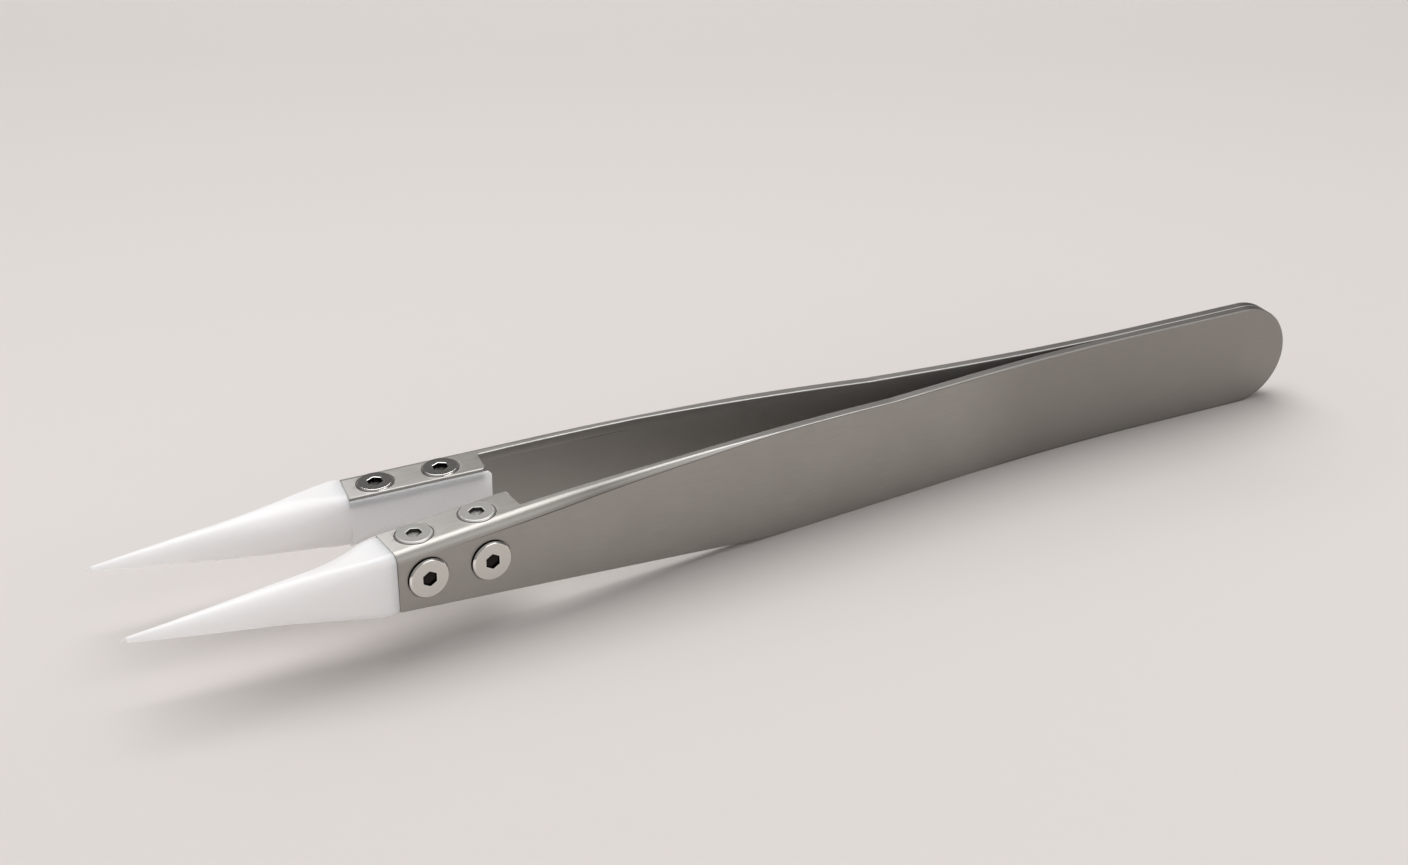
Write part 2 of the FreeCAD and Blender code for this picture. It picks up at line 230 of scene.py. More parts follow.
def arm_outlines(x):
    """Lower outline, its inward normals, upper outline and its inward normals, as x and z at stations.

    Both outlines are drawn in towards each other by the half circle of the tail. Where they meet, the
    normals point straight to the front.
    """
    past = np.clip(x - (tail_x - tail_radius), 0, tail_radius)
    drop = tail_radius - np.sqrt(np.maximum(tail_radius ** 2 - past ** 2, 0))
    low = np.stack([x, lower_height(x) + drop], axis=-1)
    up = np.stack([x, upper_height(x) - drop], axis=-1)
    low_in = inward(low, 1)
    up_in = inward(up, -1)
    low_in[-1] = up_in[-1] = (-1, 0)
    return low, low_in, up, up_in


def quarter(count):
    """Angles of a quarter turn, as an array."""
    return np.linspace(0, math.pi / 2, count)


def full_turn():
    """Angles round a circle, without the last, which would repeat the first."""
    return np.linspace(0, 2 * math.pi, round_sides + 1)[:-1]


def inner_steps(count):
    """Shares between 0 and 1 without the ends. The outermost lie close to the ends, which keeps a rounding
    from tilting the flat beside it."""
    return np.linspace(0.006, 0.994, count)


def between(first, last, count):
    """Values or points on the straight way from one column of them to another, by inner steps."""
    share = inner_steps(count).reshape([count] + [1] * (first.ndim - 2))
    return first + (last - first) * share


def along_pairs(place, pairs):
    """Values at places, on straight lines between pairs of a place and a value."""
    places, values = zip(*pairs)
    return np.interp(place, places, values)


def smooth_step(share):
    """Rise from 0 to 1 with level ends: three times the square less twice the cube."""
    return share * share * (3 - 2 * share)


# Meshes

def build(name, points, faces, corners, node, edge=None):
    """Make a closed mesh from points in metres, with a UV per face corner and an edge attribute of painted
    light and shade.
    """
    mesh = bpy.data.meshes.new(name)
    mesh.from_pydata(points, [], faces)
    layer = mesh.uv_layers.new(name="along")
    layer.data.foreach_set("uv", np.asarray(corners, float).ravel())
    # Edge attribute: painted highlight above zero, painted shade below zero
    painted_light_and_shade = mesh.attributes.new("edge", "FLOAT", "POINT")
    painted_light_and_shade.data.foreach_set("value", np.asarray(edge if edge is not None else np.zeros(len(points)), float))
    piece = bpy.data.objects.new(name, mesh)
    bpy.context.scene.collection.objects.link(piece)
    mend(mesh)
    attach(piece, "root")
    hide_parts(node)
    return piece


def mend(mesh):
    """Merge doubled points, point the faces outwards and smooth all but the sharp edges."""
    work = bmesh.new()
    work.from_mesh(mesh)
    bmesh.ops.remove_doubles(work, verts=work.verts, dist=merge_distance)
    bmesh.ops.dissolve_degenerate(work, dist=sliver_length, edges=work.edges)
    bmesh.ops.recalc_face_normals(work, faces=work.faces)
    if work.calc_volume(signed=True) < 0:
        bmesh.ops.reverse_faces(work, faces=work.faces)
    work.to_mesh(mesh)
    work.free()
    smooth(mesh)


def smooth(mesh):
    """Shade a mesh smooth apart from its sharp edges."""
    mesh.polygons.foreach_set("use_smooth", np.ones(len(mesh.polygons), bool))
    mesh.set_sharp_from_angle(angle=smooth_below)


def loft(grid, along, across, cap_first, cap_last):
    """Quads between the rows of a grid of closed loops, with their UVs, and a face over an open end.

    grid is rows by points by 3. along has one value per row, across one per point and one more at the seam.
    """
    rows, count = grid.shape[:2]
    i, j = np.meshgrid(np.arange(rows - 1), np.arange(count), indexing="ij")
    k = (j + 1) % count
    quads = np.stack([i * count + j, i * count + k, (i + 1) * count + k, (i + 1) * count + j], axis=-1)
    u = np.stack([along[i], along[i], along[i + 1], along[i + 1]], axis=-1)
    v = np.stack([across[j], across[j + 1], across[j + 1], across[j]], axis=-1)
    faces = quads.reshape(-1, 4).tolist()
    corners = [np.stack([u, v], axis=-1).reshape(-1, 2)]
    for wanted, row in ((cap_first, 0), (cap_last, rows - 1)):
        if wanted:
            faces.append([row * count + n for n in range(count)])
            corners.append(np.stack([np.full(count, along[row]), across[:count]], axis=-1))
    return grid.reshape(-1, 3), faces, np.concatenate(corners)


# The arms

# The tab ends between two stations a tab step apart. The UVs across an arm are measured on one row
tab_step = 1e-4
measured_row = 40


def arm_stations():
    """Places along an arm where its section is worked out: close together at the front, at the corners of
    the tab and round the tail, where they follow equal turns of the tail's half circle."""
    turn = quarter(10)
    tail_start = tail_x - tail_radius
    return np.concatenate([
        [front_x, front_x + 0.02, front_x + 0.06, front_x + 0.1],
        np.linspace(front_x + 0.6, tab_tail_x - tab_corner - 0.3, 24),
        tab_tail_x - tab_corner + tab_corner * np.sin(turn),
        [tab_tail_x + tab_step],
        tab_tail_x + hollow_corner * (1 - np.cos(turn[1:])),
        np.linspace(tab_tail_x + 0.4, waist_x, 60),
        np.linspace(waist_x + 0.8, tail_start - 0.3, 44),
        tail_start + tail_radius * np.sin(quarter(40)),
    ])


def behind_tab(x):
    """Whether a station is behind the end of the tab."""
    return x > tab_tail_x + tab_step / 2


def folded_reach(x):
    """How far the folded top reaches inwards: the tab with its round corner, then a small hollow corner
    and the flange, which narrows evenly until only the sheet's own thickness is left."""
    to_tail = np.clip(x - (tab_tail_x - tab_corner), 0, tab_corner)
    tab = tab_width - tab_corner + np.sqrt(np.maximum(tab_corner ** 2 - to_tail ** 2, 0))
    hollow = np.clip(tab_tail_x + hollow_corner - x, 0, hollow_corner)
    rounding = hollow_corner - np.sqrt(np.maximum(hollow_corner ** 2 - hollow ** 2, 0))
    flange = np.interp(x, [tab_tail_x, flange_end_x], [flange_width, sheet])
    return np.where(behind_tab(x), flange + rounding, tab)


def off_outline(outline, normals, depth, y):
    """Points at depths from an outline along its inward normals, and at distances y from the outer face."""
    depth, y = np.broadcast_arrays(depth, y)
    place = outline[:, None, :] + normals[:, None, :] * depth[..., None]
    return np.stack([place[..., 0], y, place[..., 1]], axis=-1)


def arm_grid():
    """Stations of an arm, its sections and their painted light and shade. Each section is a loop round the
    sheet: lower edge, outer face, fold, tab or rim, inner face. Depths are measured from the outlines along
    their normals, so the sheet keeps its thickness."""
    x = arm_stations()
    low, low_in, up, up_in = arm_outlines(x)

    def off_low(depth, y):
        return off_outline(low, low_in, depth, y)

    def off_up(depth, y):
        return off_outline(up, up_in, depth, y)

    place = x[:, None]
    cut = along_pairs(place - front_x, front_break)
    reach = folded_reach(place)
    rim = reach - cut
    back = sheet - cut
    under = np.where(place > waist_x, handle_rim_depth, sheet) - cut
    outer = along_pairs(place - tab_tail_x, fold_run_out)
    inner = np.where(behind_tab(place), flange_inner_radius, fold_inner_radius)
    inner = np.minimum(inner, 0.7 * (reach - sheet))
    under_break = np.minimum(rim_break, 0.25 * (reach - sheet))

    turn = quarter(6)
    sine, cosine = np.sin(turn), np.cos(turn)
    # Painted highlight along the middle of each rounded edge
    edge_highlight = np.sin(2 * turn)
    fold = quarter(14)
    fold_sine, fold_cosine = np.sin(fold), np.cos(fold)
    # Painted shade along the crease under the fold, and the fold's painted highlight and shade
    crease = np.where(fold == 0, along_pairs(place, crease_painted_shade), along_pairs(place, fold_highlight_and_shade))
    # Painted shade under the flange behind the tab, painted light on the rest of the inner side
    covered = behind_tab(place) & (place < flange_end_x - 1)
    underside = np.where(covered, flange_under_painted_shade, inner_face_painted_light)

    loops = [
        (off_low(cut + edge_break * (1 - cosine), cut + edge_break * (1 - sine)),
         along_pairs(place, low_edge_highlight_and_shadow) * edge_highlight),
        (between(off_low(cut + edge_break, cut), off_up(cut + outer, cut), 26), 0.0),
        (off_up(cut + outer * (1 - fold_sine), cut + outer * (1 - fold_cosine)), crease),
        (off_up(cut, between(cut + outer, rim - rim_break, 12)), along_pairs(place, top_highlight_and_shade)),
        (off_up(cut + rim_break * (1 - cosine), rim - rim_break + rim_break * sine), edge_highlight),
        (off_up(under - under_break + under_break * sine, rim - under_break + under_break * cosine),
         rim_under_painted_highlight),
        (off_up(under, between(rim - under_break, back + inner, 6)), underside),
        (off_up(under + inner - inner * cosine, back + inner - inner * sine), underside),
        (between(off_up(under + inner, back), off_low(cut + edge_break, back), 16), inner_face_painted_light),
        (off_low(cut + edge_break * (1 - sine), back - edge_break * (1 - cosine)), edge_highlight),
    ]
    grid = np.concatenate([points for points, _ in loops], axis=1)
    painted_light_and_shade = np.concatenate([np.broadcast_to(painted_amount, points.shape[:2]) for points, painted_amount in loops], axis=1)
    return x, grid, painted_light_and_shade


def seat_cutters(side):
    """Short cylinders that sink the screw seats into the sheet, from 2 mm outside it."""
    cutters = []
    turn = full_turn()[:, None]
    unused_uv = np.arange(2.0), np.arange(round_sides + 1.0)
    for name, (seat, direction) in screw_axes().items():
        row = name.split("_")[0]
        first, second = across_axis(direction)
        ring = (head_radius[row] + seat_clearance) * (np.cos(turn) * first + np.sin(turn) * second)
        rings = np.stack([seat - 2 * direction + ring, seat + seat_depth[row] * direction + ring])
        points, faces, _ = loft(along_arm(rings, side), *unused_uv, True, True)
        mesh = bpy.data.meshes.new("seat_cutter")
        mesh.from_pydata(points, [], faces)
        mend(mesh)
        cutters.append(bpy.data.objects.new("seat_cutter", mesh))
    return cutters


def sink_seats(piece, side):
    """Cut the screw seats out of an arm, and keep the result as its mesh."""
    cutters = seat_cutters(side)
    for cutter in cutters:
        bpy.context.scene.collection.objects.link(cutter)
        cut = piece.modifiers.new("seat", "BOOLEAN")
        cut.operation = "DIFFERENCE"
        cut.solver = "EXACT"
        cut.object = cutter
    depsgraph = bpy.context.evaluated_depsgraph_get()
    mesh = bpy.data.meshes.new_from_object(piece.evaluated_get(depsgraph))
    piece.modifiers.clear()
    piece.data = mesh
    for cutter in cutters:
        bpy.data.objects.remove(cutter)
    smooth(mesh)


def make_arm(side, material):
    """One arm with its sunk seats. Its UVs go along the arm and by the length round the measured row."""
    x, grid, painted_light_and_shade = arm_grid()
    loop = grid[measured_row]
    steps = np.linalg.norm(np.diff(loop, axis=0, append=loop[:1]), axis=-1)
    across = np.concatenate([[0], np.cumsum(steps)])
    points, faces, corners = loft(along_arm(grid, side), x, across, True, False)
    piece = build(side + "_arm_sheet", points, faces, corners, side + "_arm", painted_light_and_shade.ravel())
    sink_seats(piece, side)
    piece.data.materials.append(material)


# The ceramic tips

# Length of the UVs round a tip, and the half gap between the stations on both sides of a chamfer's edge
length_round_tip = 18.0
half_gap = 0.03


def rounded(y_low, y_high, z_low, z_high, radii):
    """Rounded rectangle round a section, as y and z: straight sides between quarter ellipses whose half
    axes in y and z go low outer, low inner, high inner, high outer."""
    low_corners = (y_low, z_low, 1, 1), (y_high, z_low, -1, 1)
    high_corners = (y_high, z_high, -1, -1), (y_low, z_high, 1, -1)
    turn = quarter(corner_points)
    rounds = []
    for (y, z, y_sign, z_sign), (half_y, half_z) in zip(low_corners + high_corners, radii):
        angle = turn[::-1] if y_sign == z_sign else turn
        ellipse_y = y + y_sign * half_y * (1 - np.sin(angle))
        ellipse_z = z + z_sign * half_z * (1 - np.cos(angle))
        rounds.append(np.stack([ellipse_y, ellipse_z], axis=-1))
    share = inner_steps(side_points)[:, None]
    loop = []
    for here, after in zip(rounds, rounds[1:] + rounds[:1]):
        loop += [here, here[-1] + (after[0] - here[-1]) * share]
    return np.concatenate(loop)


def with_lip(loop, x, drop, bar_top):
    """The same loop with its upper inner corner raised as the lip in front of the tab's edge.

    The lip's inner edge is a quarter circle, its outer edge is broken a little, and its outer side drops
    to the bar's top. The points of the two sides that meet it are spread again.
    """
    lip_top = tab_top(x) - lip_below_tab / math.cos(tab_fall) - drop
    turn = quarter(5)
    y = np.concatenate([
        bar_inner_y - lip_edge_radius * (1 - np.cos(turn)),
        [lip_outer_y + 0.04, lip_outer_y + 0.01, lip_outer_y],
        [lip_outer_y] * 3,
    ])
    z = np.concatenate([
        lip_top - lip_edge_radius * (1 - np.sin(turn)),
        [lip_top, lip_top - 0.01, lip_top - 0.04],
        [bar_top + 0.2, bar_top + 0.02, bar_top],
    ])
    raised = loop.copy()
    first = 2 * (corner_points + side_points)
    last = first + corner_points - 1
    raised[first:last + 1] = np.stack([y, z], axis=-1)
    before = raised[first - side_points - 1]
    share = np.linspace(0, 1, side_points, endpoint=False)[:, None] + 1 / (side_points + 1)
    raised[first - side_points:first] = before + (raised[first] - before) * share
    after = raised[last + side_points + 1]
    share = inner_steps(side_points)[:, None]
    raised[last + 1:last + side_points + 1] = raised[last] + (after - raised[last]) * share
    return raised


def bar_section(x, ease=0.0):
    """Station and section of the bar, drawn in by the chamfer of its tail and by the ease of its edge.

    Towards the sheet's front its lower inner corner grows and its underside drops, by the square of the
    share of the easing length.
    """
    back = tab_tail_x + bar_tail_overhang - x
    cut = max(bar_end_chamfer - back, 0.0)
    drop = max(lip_end_chamfer - back, 0.0)
    soft = bar_edge_radius - ease
    share = np.clip((front_x + bar_easing_length - x) / bar_easing_length, 0, 1)
    high = tab_top(x) - sheet / math.cos(tab_fall) - cut - ease
    low = tab_top(x) - (sheet + bar_height) / math.cos(tab_fall) + cut + ease - bar_front_drop * share ** 2
    low_inner = np.array(bar_rear_radii) * (1 - share) + np.array(bar_front_radii) * share - ease
    radii = ((soft, soft), low_inner, (0.06, 0.06), (soft, soft))
    loop = rounded(sheet + ease, bar_inner_y - ease, low, high, radii)
    return x, with_lip(loop, x, drop + ease, high)


def tip_sections():
    """Stations and sections of a ceramic tip, from its tail to its point.

    They are the bar with its chamfered end, the short break ahead of the sheet, the shoulder with the
    taper, and the last sections, which start narrow half the point's width before the end and grow to the
    taper's own size by the sine of a quarter turn.
    """
    tail = tab_tail_x + bar_tail_overhang
    out = [bar_section(tail, 0.08), bar_section(tail - 0.02, 0.025), bar_section(tail - 0.07)]
    for chamfer in (lip_end_chamfer, bar_end_chamfer):
        out += [bar_section(tail - chamfer + half_gap), bar_section(tail - chamfer - half_gap)]
    for x in np.linspace(tail - bar_end_chamfer - 0.6, front_x + 0.3, 10):
        out.append(bar_section(x))
    out.append(bar_section(front_x + 1e-3))
    for back, inset in ((0.0, 0.1), (0.02, 0.05), (0.06, 0.02), (0.12, 0.0)):
        out.append((front_x - back, taper_section(back, inset)))
    for back in np.linspace(0.3, point_length - 0.3, 60):
        out.append((front_x - back, taper_section(back)))
    middle = np.array([point_inset, point_height])
    for turn in quarter(7):
        back = point_length - point_width / 2 * (1 - math.sin(turn))
        size = max(math.sin(turn), 0.02)
        out.append((front_x - back, middle + (taper_section(back) - middle) * size))
    return out


def taper_section(back, inset=0.0):
    """Section at a distance ahead of the sheet, drawn in by the inset on the sides that meet the sheet.

    The top and bottom run straight from the end of the shoulder to the point, and the two sides bow
    outwards a little. The half axes of the corners ease from the shoulder's to half the section's own
    size, which makes the forward part round. The upper inner edge starts as sharp as the lip's.
    """
    share = max(0.0, (back - shoulder_length) / (point_length - shoulder_length))
    half = point_width / 2
    bow = taper_bow * 4 * share * (1 - share)
    y_low = (point_inset - half) * share - bow + inset
    y_high = bar_inner_y + (point_inset + half - bar_inner_y) * share - bow
    z_low = shoulder_bottom + (point_height - half - shoulder_bottom) * share + inset
    z_high = front_top_height + (point_height + half - front_top_height) * share - inset
    size = np.array([y_high - y_low, z_high - z_low])
    ease = smooth_step(min(share / fully_round_share, 1.0))
    grown = inner_edge_start + (1 - inner_edge_start) * smooth_step(min(back / inner_edge_length, 1.0))
    first_radii = np.array(shoulder_radii) * [[1], [1], [grown], [1]]
    low_out, low_in, high_in, high_out = radii = [r + (0.498 * size - r) * ease for r in first_radii]
    sides = ((low_out, low_in, 0), (high_in, high_out, 0), (low_in, high_in, 1), (low_out, high_out, 1))
    for first, second, axis in sides:
        over = (first[axis] + second[axis]) / (0.999 * size[axis])
        if over > 1:
            first[axis] /= over
            second[axis] /= over
    return rounded(y_low, y_high, z_low, z_high, radii)


def make_tip(side, material):
    """One ceramic tip as a loft through its sections."""
    sections = tip_sections()
    grid = np.stack([np.column_stack([np.full(len(loop), x), loop]) for x, loop in sections])
    along = np.array([x for x, _ in sections])
    across = np.linspace(0, length_round_tip, grid.shape[1] + 1)
    points, faces, corners = loft(along_arm(grid, side), along, across, True, True)
    piece = build(side + "_ceramic_point", points, faces, corners, side + "_ceramic_tip")
    piece.data.materials.append(material)


# The screws

def screw_axes():
    """Seat point and inward direction of each screw, in the straight frame of an arm."""
    axes = {}
    down = np.array([math.sin(tab_fall), 0, -math.cos(tab_fall)])
    for station, x in zip(("front", "rear"), screw_x):
        middle = (tab_top(x) + front_rise(x)) / 2
        axes["side_screw_" + station] = (np.array([x, 0, middle]), np.array([0.0, 1.0, 0.0]))
        axes["top_screw_" + station] = (np.array([x, top_screw_inset, tab_top(x)]), down)
    return axes


def across_axis(direction):
    """Two unit directions square to an axis and to each other."""
    first = np.cross(direction, [0.0, 1.0, 0.0] if abs(direction[1]) < 0.5 else [0.0, 0.0, 1.0])
    first /= np.linalg.norm(first)
    return first, np.cross(direction, first)


def screw_profile(turn, head, seat):
    """Rings of a screw from the socket's floor to the shank's end, as radius, depth and painted light, for
    a radius of the head and a depth of its seat. Painted light below zero is painted shade in the socket
    and in the gap round the head; above zero it is a painted highlight on the socket's mouth and the head's
    rim.

    The socket's radius is half its width over the cosine of the angle from the nearest flat's middle.
    """
    sector = (turn + math.pi / 6) % (math.pi / 3) - math.pi / 6
    hexagon = socket_across_flats / 2 / np.cos(sector)
    top = seat - head_height
    floor = top + socket_depth
    flat = head - head_chamfer
    whole = np.ones_like(turn)
    # Painted shade in the socket, and a painted highlight on its mouth
    socket = [
        (0.02 * whole, floor + 0.1, -1),
        (hexagon * 0.9, floor, -1),
        (hexagon, floor - 0.03, -1),
        (hexagon, top + 0.1, -0.9),
        (hexagon + 0.02, top + 0.02, 0),
        (hexagon + 0.06, top, 0.5),
        (hexagon + 0.09, top, 0),
    ]
    face = [(hexagon * (1 - share) + flat * share, top, 0) for share in np.linspace(0.2, 0.97, 9)]
    # Painted highlight on the head's rim
    rim = [
        (flat * whole, top, 0.8),
        ((flat + 0.02) * whole, top + 0.01, 1.0),
        ((head - 0.03) * whole, top + head_chamfer - 0.02, 1.0),
        (head * whole, top + head_chamfer + 0.02, 0),
    ]
    # Painted shade on the head's side in the gap round it, and on the hidden shank
    hidden = [
        (head * whole, top + head_chamfer + 0.05, -1),
        (head * whole, seat, -1),
        (shank_radius * whole, seat, -1),
        (shank_radius * whole, shank_reach, -1),
    ]
    return socket + face + rim + hidden


def make_screw(side, name, seat, direction, material):
    """One screw: its rings stood on the seat point, along the inward direction."""
    turn = full_turn()
    row = name.split("_")[0]
    rings = screw_profile(turn, head_radius[row], seat_depth[row])
    first, second = across_axis(direction)
    radial = np.cos(turn)[:, None] * first + np.sin(turn)[:, None] * second
    grid = np.stack([seat + direction * depth + radial * radius[:, None] for radius, depth, _ in rings])
    along = np.array([radius.mean() for radius, _, _ in rings])
    across = np.linspace(0, 1, round_sides + 1)
    painted_light_and_shade = np.repeat([painted_amount for _, _, painted_amount in rings], round_sides)
    points, faces, corners = loft(along_arm(grid, side), along, across, True, True)
    node = side + "_" + name
    piece = build(node + "_turned", points, faces, corners, node, painted_light_and_shade)
    piece.data.materials.append(material)


# Materials

# Sockets of a Mix node that blends colours: its two inputs and its output
mix_from, mix_to, mix_colour = 6, 7, 2

# Range that most values of a noise lie in, height of the finest relief in metres, and the room's colour
noise_span = (0.3, 0.7)
relief_height = 0.00002
room_colour = (0.7, 0.645, 0.615)


class Graph:
    """Short way to add and join shader nodes in one node tree."""

    def __init__(self, tree):
        self.tree = tree

    def node(self, kind, **values):
        """Add a node. A value goes to the node's own setting of that name, or else to its input."""
        made = self.tree.nodes.new("ShaderNode" + kind)
        for key, value in values.items():
            if hasattr(made, key):
                setattr(made, key, value)
            else:
                made.inputs[key.replace("_", " ")].default_value = value
        return made

    def join(self, source, socket, target, name):
        """Link an output of one node to an input of another."""
        self.tree.links.new(source.outputs[socket], target.inputs[name])

    def carry(self, source, socket, seen, wanted, **settings):
        """Carry a number from the range where it is seen to the wanted range, and hold it there."""
        made = self.node(
            "MapRange", From_Min=seen[0], From_Max=seen[1], To_Min=wanted[0], To_Max=wanted[1], **settings
        )
        self.join(source, socket, made, "Value")
        return made

    def blend(self, first, last, source, socket=0):
        """Blend to a colour by a number, from another colour or from the result of a blend."""
        made = self.node("Mix", data_type="RGBA")
        if isinstance(first, tuple):
            made.inputs[mix_from].default_value = (*first, 1)
        else:
            self.join(first, mix_colour, made, mix_from)
        made.inputs[mix_to].default_value = (*last, 1)
        self.join(source, socket, made, 0)
        return made

    def grain(self, group, place, socket, along, across, patch):
        """Place the group of brushed streaks on coordinates, with its three scales."""
        made = self.node("Group", node_tree=group)
        for name, scale in (("Along", along), ("Across", across), ("Patch", patch)):
            made.inputs[name].default_value = scale
        self.join(place, socket, made, "Vector")
        return made


def streaks_group():
    """Fine brushing: noise that is stretched along the first coordinate, and slow patches over it."""
    group = bpy.data.node_groups.new("Brushed streaks", "ShaderNodeTree")
    group.interface.new_socket("Vector", in_out="INPUT", socket_type="NodeSocketVector")
    for label, scale in (("Along", 0.2), ("Across", 14.0), ("Patch", 0.12)):
        socket = group.interface.new_socket(label, in_out="INPUT", socket_type="NodeSocketFloat")
        socket.default_value = scale
    for label in ("Streaks", "Patches"):
        group.interface.new_socket(label, in_out="OUTPUT", socket_type="NodeSocketFloat")
    start = group.nodes.new("NodeGroupInput")
    end = group.nodes.new("NodeGroupOutput")
    g = Graph(group)
    scale = g.node("CombineXYZ")
    g.join(start, "Along", scale, "X")
    g.join(start, "Across", scale, "Y")
    g.join(start, "Across", scale, "Z")
    stretched = g.node("VectorMath", operation="MULTIPLY")
    g.join(start, "Vector", stretched, 0)
    g.join(scale, 0, stretched, 1)
    fine = g.node("TexNoise", Scale=1.0, Detail=5.0, Roughness=0.65)
    g.join(stretched, 0, fine, "Vector")
    g.join(fine, 0, end, "Streaks")
    slow = g.node("TexNoise", Detail=3.0, Roughness=0.55)
    g.join(start, "Vector", slow, "Vector")
    g.join(start, "Patch", slow, "Scale")
    g.join(slow, 0, end, "Patches")
    return group


def new_material(name):
    """Empty material with a Principled shader: the material, its graph and the shader."""
    made = bpy.data.materials.new(name)
    made.use_nodes = True
    made.node_tree.nodes.clear()
    g = Graph(made.node_tree)
    shader = g.node("BsdfPrincipled")
    g.join(shader, "BSDF", g.node("OutputMaterial"), "Surface")
    return made, g, shader


def machined(g, shader, source, socket, roughness, strength):
    """Roughness within a range and a fine relief, both by the same noise."""
    g.join(g.carry(source, socket, noise_span, roughness), 0, shader, "Roughness")
    bump = g.node("Bump", Strength=strength, Distance=relief_height)
    g.join(source, socket, bump, "Height")
    g.join(bump, 0, shader, "Normal")


def paint_light_by_edge(g, shader, colour, bright, depth):
    """Brighten a colour where the edge attribute is above zero, a painted highlight on edges and rims, and
    darken it where the attribute is below zero, painted shade in creases, sockets and the gaps round the
    heads."""
    edge = g.node("Attribute", attribute_name="edge")
    # Painted highlight: blend towards the bright colour where the attribute is above zero
    colour = g.blend(colour, bright, edge, "Fac")
    # Painted shade: blend towards near black where it is below zero, as far as the depth gives
    amount = g.carry(edge, "Fac", (0.0, -1.0), (0.0, depth))
    colour = g.blend(colour, (0.02, 0.018, 0.016), amount)
    g.join(colour, mix_colour, shader, "Base Color")


def brushed_sheet(streaks):
    """Stainless sheet brushed along the arm: streaks in colour, roughness and relief, slow darker patches,
    a handle darker towards the tail, painted highlights on edges and rims, and painted shade in creases and
    under folds."""
    made, g, shader = new_material("Brushed sheet steel")
    shader.inputs["Metallic"].default_value = 1.0
    place = g.node("UVMap", uv_map="along")
    grain = g.grain(streaks, place, 0, along=0.35, across=16.0, patch=0.16)
    streak = g.carry(grain, "Streaks", noise_span, (0.0, 1.0))
    colour = g.blend((0.37, 0.352, 0.332), (0.45, 0.43, 0.407), streak)
    patch = g.carry(grain, "Patches", noise_span, (0.0, 0.35))
    colour = g.blend(colour, (0.34, 0.325, 0.3), patch)
    split = g.node("SeparateXYZ")
    g.join(place, 0, split, 0)
    rear = g.carry(split, "X", (-2.0, 10.0), (0.0, 0.5), interpolation_type="SMOOTHSTEP")
    colour = g.blend(colour, (0.25, 0.235, 0.222), rear)
    # Painted highlights blend to this bright colour, painted shade to near black
    paint_light_by_edge(g, shader, colour, (0.66, 0.645, 0.625), 1.0)
    machined(g, shader, grain, "Streaks", (0.4, 0.5), 0.12)
    return made


def turned_steel(name, brightness, roughness, depth):
    """Turned screw steel: fine rings round the axis in colour, roughness and relief, painted highlights on
    the rims, and painted shade in the recesses, as dark as the depth gives."""
    made, g, shader = new_material(name)
    shader.inputs["Metallic"].default_value = 1.0
    split = g.node("SeparateXYZ")
    g.join(g.node("UVMap", uv_map="along"), 0, split, 0)
    rings = g.node("TexNoise", noise_dimensions="1D", Scale=9.0, Detail=4.0, Roughness=0.7)
    g.join(split, "X", rings, "W")
    low, high = (tuple(brightness * part for part in c) for c in ((0.6, 0.585, 0.55), (0.7, 0.685, 0.65)))
    colour = g.blend(low, high, g.carry(rings, 0, noise_span, (0.0, 1.0)))
    # Painted highlights on rims blend to this bright colour, painted shade in recesses to near black by the
    # depth
    paint_light_by_edge(g, shader, colour, (0.95, 0.93, 0.9), depth)
    machined(g, shader, rings, 0, roughness, 0.04)
    return made


def white_ceramic(streaks):
    """Ground white ceramic: warm white with very slight patches, satin, with light passing into it. For
    the camera alone it glows a little: painted light that stands in for fill light on it."""
    made, g, shader = new_material("Ground white ceramic")
    place = g.node("TexCoord")
    grain = g.grain(streaks, place, "Object", along=900.0, across=1500.0, patch=120.0)
    patch = g.carry(grain, "Patches", (0.35, 0.65), (0.0, 1.0))
    colour = g.blend((0.83, 0.818, 0.817), (0.85, 0.838, 0.837), patch)
    g.join(colour, mix_colour, shader, "Base Color")
    machined(g, shader, grain, "Streaks", (0.34, 0.42), 0.05)
    shader.inputs["Subsurface Weight"].default_value = 0.9
    shader.inputs["Subsurface Radius"].default_value = (0.0035, 0.0033, 0.0032)
    shader.inputs["Subsurface Scale"].default_value = 1.0
    shader.inputs["Emission Color"].default_value = (1.0, 0.98, 0.985, 1)
    # Painted light: emission that only the camera sees
    painted_glow = g.node("Math", operation="MULTIPLY")
    painted_glow.inputs[1].default_value = 0.11
    g.join(g.node("LightPath"), "Is Camera Ray", painted_glow, 0)
    g.join(painted_glow, 0, shader, "Emission Strength")
    return made


def pale_floor():
    """Matt pale floor, with painted shade and painted shadow from its own attribute. Far out the camera
    sees it as pale as the room.
    """
    made, g, shader = new_material("Pale floor")
    # Painted shade and painted shadow: the shade attribute blends the floor's colour towards black
    shade = g.node("Attribute", attribute_name="shade")
    colour = g.blend((0, 0, 0), (0.79, 0.742, 0.718), shade, "Fac")
    g.join(colour, mix_colour, shader, "Base Color")
    pale = g.node("Math", operation="MULTIPLY")
    g.join(g.node("LightPath"), "Is Camera Ray", pale, 0)
    g.join(g.node("Attribute", attribute_name="far"), "Fac", pale, 1)
    g.join(pale, 0, shader, "Emission Strength")
    shader.inputs["Emission Color"].default_value = (*room_colour, 1)
    shader.inputs["Roughness"].default_value = 0.9
    shader.inputs["Specular IOR Level"].default_value = 0.1
    return made


# The object

streaks = streaks_group()
sheet_steel = brushed_sheet(streaks)
screw_steel = turned_steel("Turned screw steel", 1.0, (0.14, 0.2), 1.0)
